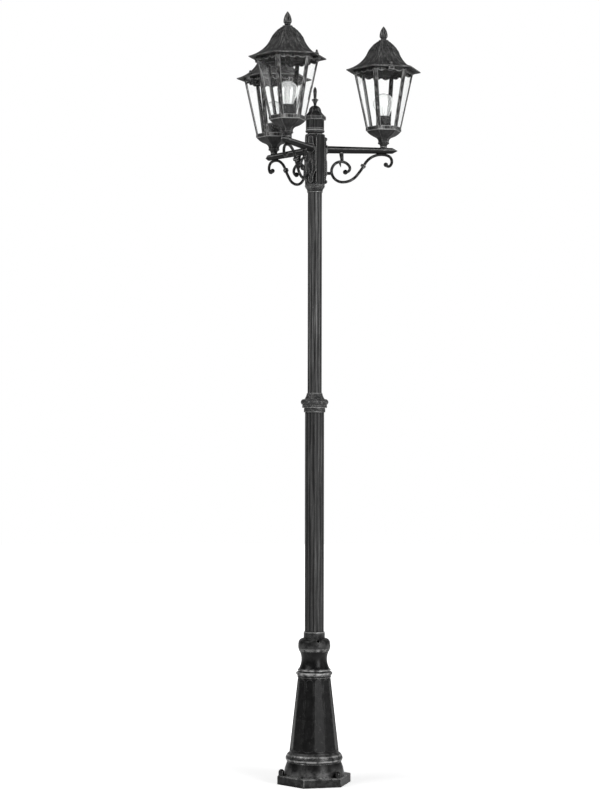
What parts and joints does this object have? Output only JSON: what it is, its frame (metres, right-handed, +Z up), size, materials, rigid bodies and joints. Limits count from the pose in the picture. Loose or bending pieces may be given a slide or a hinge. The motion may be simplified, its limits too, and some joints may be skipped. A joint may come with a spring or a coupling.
{
  "type": "outdoor lamp post",
  "caption": "Traditional outdoor lamp post with hexagonal glass lanterns on scrolled arms, a fluted pole in stages and a panelled base.",
  "frame": {"origin": "centre of the anchor bolt circle on the underside of the foot", "axes": "+Z up along the pole, +X along the first arm"},
  "size_m": [0.5266, 0.5489, 2.2016],
  "materials": {
    "antiqued_casting": "black paint, brushed with silver on the raised edges",
    "nut_cap_black": "gloss black",
    "dark_screw": "blackened",
    "zinc_steel": "zinc plated",
    "terminal_plastic": "matt",
    "brass_screw": "plain",
    "pane_glass": "clear",
    "porcelain": "glazed",
    "sleeve_black": "satin black paint",
    "nickel_brass": "nickel plated",
    "clear_bulb_glass": "clear",
    "filament_wire": "bare wire"
  },
  "bodies": {
    "post": {"anchor_nut_caps": "nut_cap_black", "arm_1_plate": "antiqued_casting", "arm_1_scroll": "antiqued_casting", "arm_1_tube": "antiqued_casting", "arm_2_plate": "antiqued_casting", "arm_2_scroll": "antiqued_casting", "arm_2_tube": "antiqued_casting", "arm_3_plate": "antiqued_casting", "arm_3_scroll": "antiqued_casting", "arm_3_tube": "antiqued_casting", "arm_plate_screws": "dark_screw", "base_casting": "antiqued_casting", "base_set_screws": "dark_screw", "hub_body": "antiqued_casting", "hub_cap": "antiqued_casting", "hub_finial": "antiqued_casting", "joint_collar": "antiqued_casting", "joint_set_screws": "dark_screw", "lamp_nipples": "zinc_steel", "lantern_1_bowl": "antiqued_casting", "lantern_1_cage": "antiqued_casting", "lantern_1_lampholder": "porcelain", "lantern_1_panes": "pane_glass", "lantern_1_sleeve": "sleeve_black", "lantern_2_bowl": "antiqued_casting", "lantern_2_cage": "antiqued_casting", "lantern_2_lampholder": "porcelain", "lantern_2_panes": "pane_glass", "lantern_2_sleeve": "sleeve_black", "lantern_3_bowl": "antiqued_casting", "lantern_3_cage": "antiqued_casting", "lantern_3_lampholder": "porcelain", "lantern_3_panes": "pane_glass", "lantern_3_sleeve": "sleeve_black", "lower_pole": "antiqued_casting", "pole_capital": "antiqued_casting", "terminal_block": "terminal_plastic", "terminal_screws": "brass_screw", "upper_pole": "antiqued_casting"},
    "roof_1": {"lantern_1_roof": "antiqued_casting", "lantern_1_acorn": "antiqued_casting"},
    "bulb_1": {"lantern_1_bulb_cap": "nickel_brass", "lantern_1_bulb_glass": "clear_bulb_glass", "lantern_1_bulb_mount": "filament_wire"},
    "thumbscrew_1a": {"lantern_1_thumbscrew_a": "dark_screw"},
    "thumbscrew_1b": {"lantern_1_thumbscrew_b": "dark_screw"},
    "roof_2": {"lantern_2_roof": "antiqued_casting", "lantern_2_acorn": "antiqued_casting"},
    "bulb_2": {"lantern_2_bulb_cap": "nickel_brass", "lantern_2_bulb_glass": "clear_bulb_glass", "lantern_2_bulb_mount": "filament_wire"},
    "thumbscrew_2a": {"lantern_2_thumbscrew_a": "dark_screw"},
    "thumbscrew_2b": {"lantern_2_thumbscrew_b": "dark_screw"},
    "roof_3": {"lantern_3_roof": "antiqued_casting", "lantern_3_acorn": "antiqued_casting"},
    "bulb_3": {"lantern_3_bulb_cap": "nickel_brass", "lantern_3_bulb_glass": "clear_bulb_glass", "lantern_3_bulb_mount": "filament_wire"},
    "thumbscrew_3a": {"lantern_3_thumbscrew_a": "dark_screw"},
    "thumbscrew_3b": {"lantern_3_thumbscrew_b": "dark_screw"}
  },
  "joints": [
    {"name": "roof_1_lift", "type": "slide", "parent": "post", "child": "roof_1", "axis": [0, 0, 1], "range_m": [0, 0.16]},
    {"name": "bulb_1_turn", "type": "hinge", "parent": "post", "child": "bulb_1", "pos_m": [0.202, 0, 1.937], "axis": [0, 0, 1], "range_deg": [0, 900]},
    {"name": "thumbscrew_1a_turn", "type": "hinge", "parent": "roof_1", "child": "thumbscrew_1a", "pos_m": [0.19443, 0.08648, 2.077], "axis": [0, 0, 1], "continuous": true},
    {"name": "thumbscrew_1b_turn", "type": "hinge", "parent": "roof_1", "child": "thumbscrew_1b", "pos_m": [0.20957, -0.08648, 2.077], "axis": [0, 0, 1], "continuous": true},
    {"name": "roof_2_lift", "type": "slide", "parent": "post", "child": "roof_2", "axis": [0, 0, 1], "range_m": [0, 0.16]},
    {"name": "bulb_2_turn", "type": "hinge", "parent": "post", "child": "bulb_2", "pos_m": [-0.101, 0.17494, 1.937], "axis": [0, 0, 1], "range_deg": [0, 900]},
    {"name": "thumbscrew_2a_turn", "type": "hinge", "parent": "roof_2", "child": "thumbscrew_2a", "pos_m": [-0.17692, 0.13285, 2.077], "axis": [0, 0, 1], "continuous": true},
    {"name": "thumbscrew_2b_turn", "type": "hinge", "parent": "roof_2", "child": "thumbscrew_2b", "pos_m": [-0.02508, 0.21702, 2.077], "axis": [0, 0, 1], "continuous": true},
    {"name": "roof_3_lift", "type": "slide", "parent": "post", "child": "roof_3", "axis": [0, 0, 1], "range_m": [0, 0.16]},
    {"name": "bulb_3_turn", "type": "hinge", "parent": "post", "child": "bulb_3", "pos_m": [-0.101, -0.17494, 1.937], "axis": [0, 0, 1], "range_deg": [0, 900]},
    {"name": "thumbscrew_3a_turn", "type": "hinge", "parent": "roof_3", "child": "thumbscrew_3a", "pos_m": [-0.02265, -0.21231, 2.077], "axis": [0, 0, 1], "continuous": true},
    {"name": "thumbscrew_3b_turn", "type": "hinge", "parent": "roof_3", "child": "thumbscrew_3b", "pos_m": [-0.17935, -0.13756, 2.077], "axis": [0, 0, 1], "continuous": true}
  ]
}
